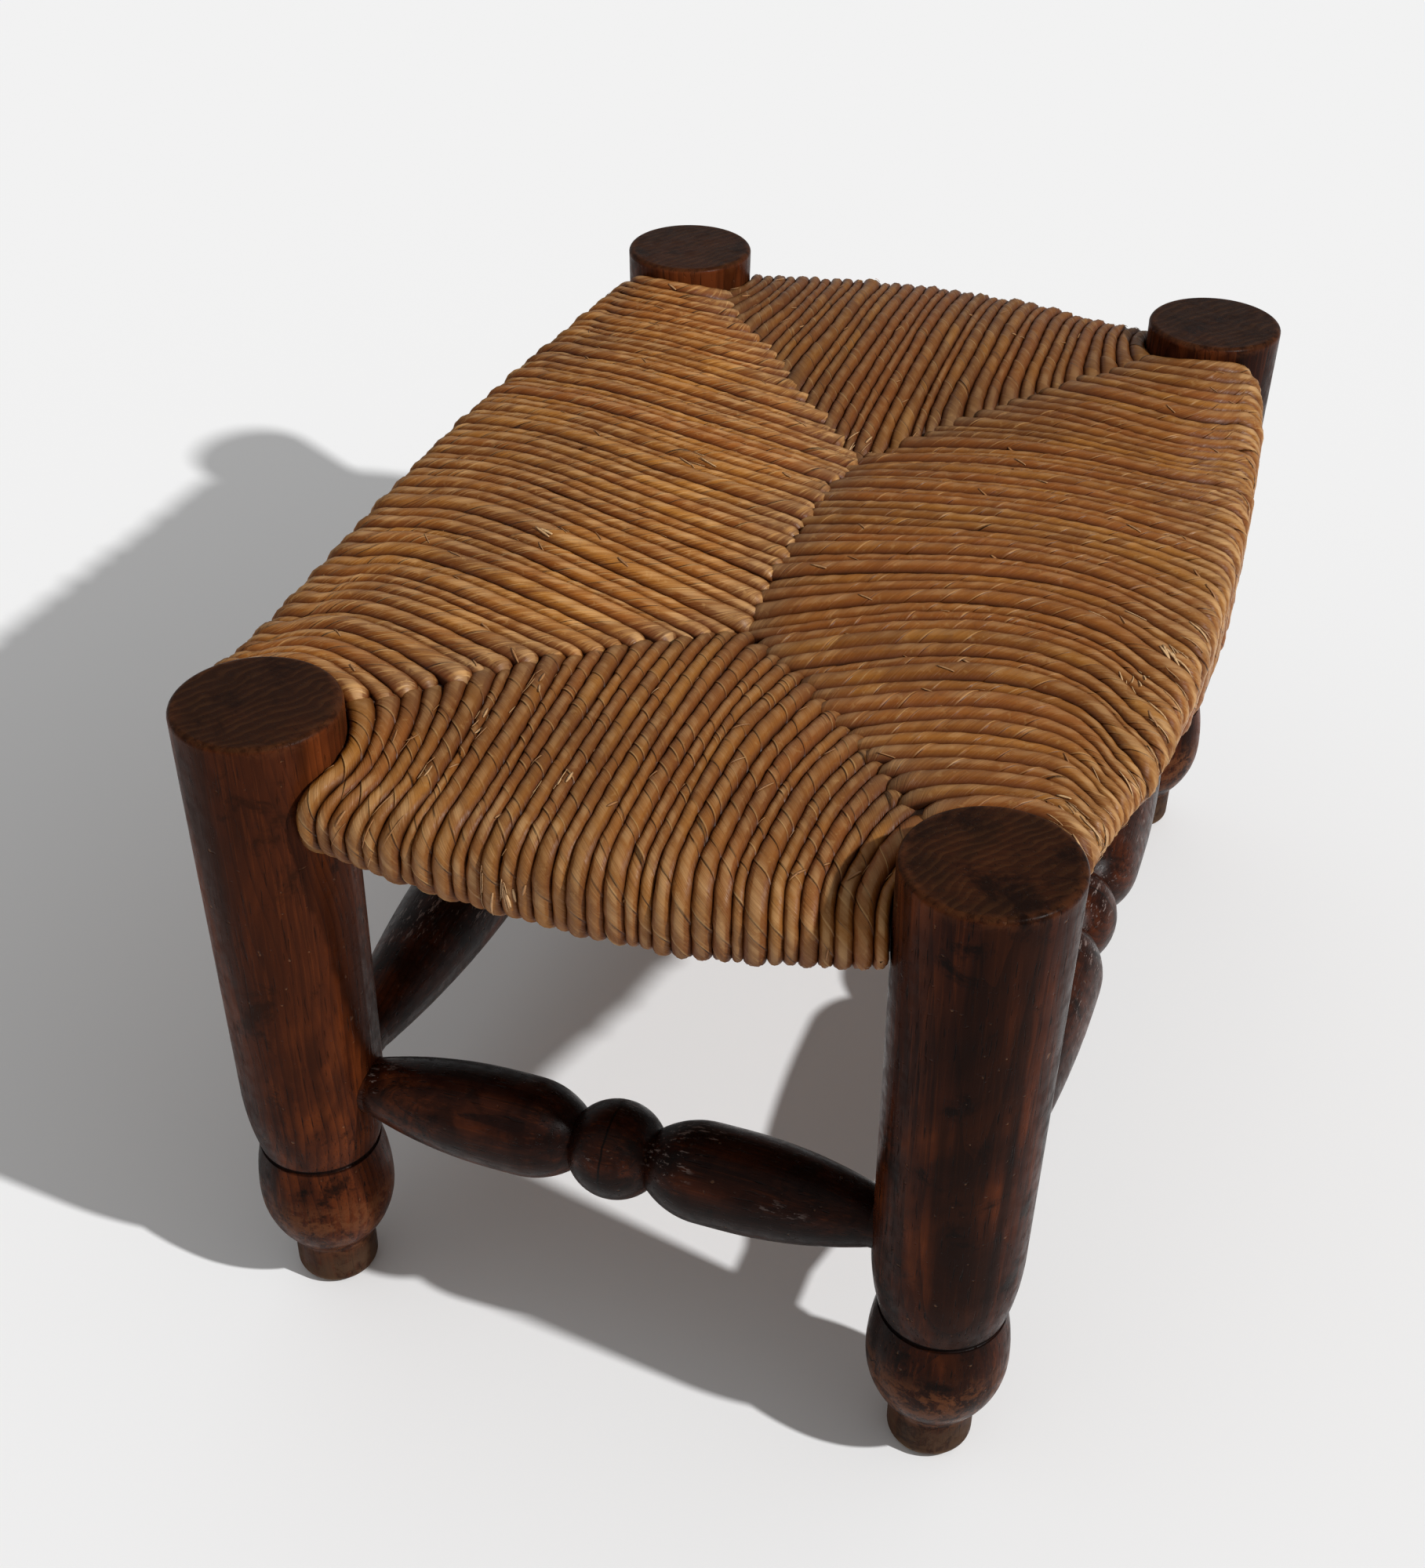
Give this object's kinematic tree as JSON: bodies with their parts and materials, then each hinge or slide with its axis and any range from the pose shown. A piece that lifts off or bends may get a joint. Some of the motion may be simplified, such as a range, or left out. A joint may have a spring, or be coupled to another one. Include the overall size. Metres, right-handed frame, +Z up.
{
  "type": "rush footstool",
  "caption": "Low rectangular footstool with turned legs on ball feet, turned stretchers with a ball in the middle, and a seat wound from twisted rush cord.",
  "frame": {"origin": "on the floor, under the middle of the seat", "axes": "+X along the short front side, towards the right; +Y along the long side, towards the back; +Z up"},
  "size_m": [0.301, 0.4394, 0.25],
  "materials": {
    "turned_wood": "dark walnut brown, old wax polish, worn edges",
    "rail_wood": "plain unpolished wood under the rush",
    "rush_cord": "twisted rush, aged golden brown, dry and slightly glossy",
    "rush_stuffing": "loose dry rush ends"
  },
  "bodies": {
    "root": {"leg_front_left": "turned_wood", "leg_front_right": "turned_wood", "leg_back_left": "turned_wood", "leg_back_right": "turned_wood", "stretcher_front": "turned_wood", "stretcher_back": "turned_wood", "stretcher_left": "turned_wood", "stretcher_right": "turned_wood", "seat_rail_front": "rail_wood", "seat_rail_back": "rail_wood", "seat_rail_left": "rail_wood", "seat_rail_right": "rail_wood", "rush_front": "rush_cord", "rush_back": "rush_cord", "rush_left": "rush_cord", "rush_right": "rush_cord", "stuffing_front": "rush_stuffing", "stuffing_back": "rush_stuffing", "stuffing_left": "rush_stuffing", "stuffing_right": "rush_stuffing"}
  },
  "joints": []
}
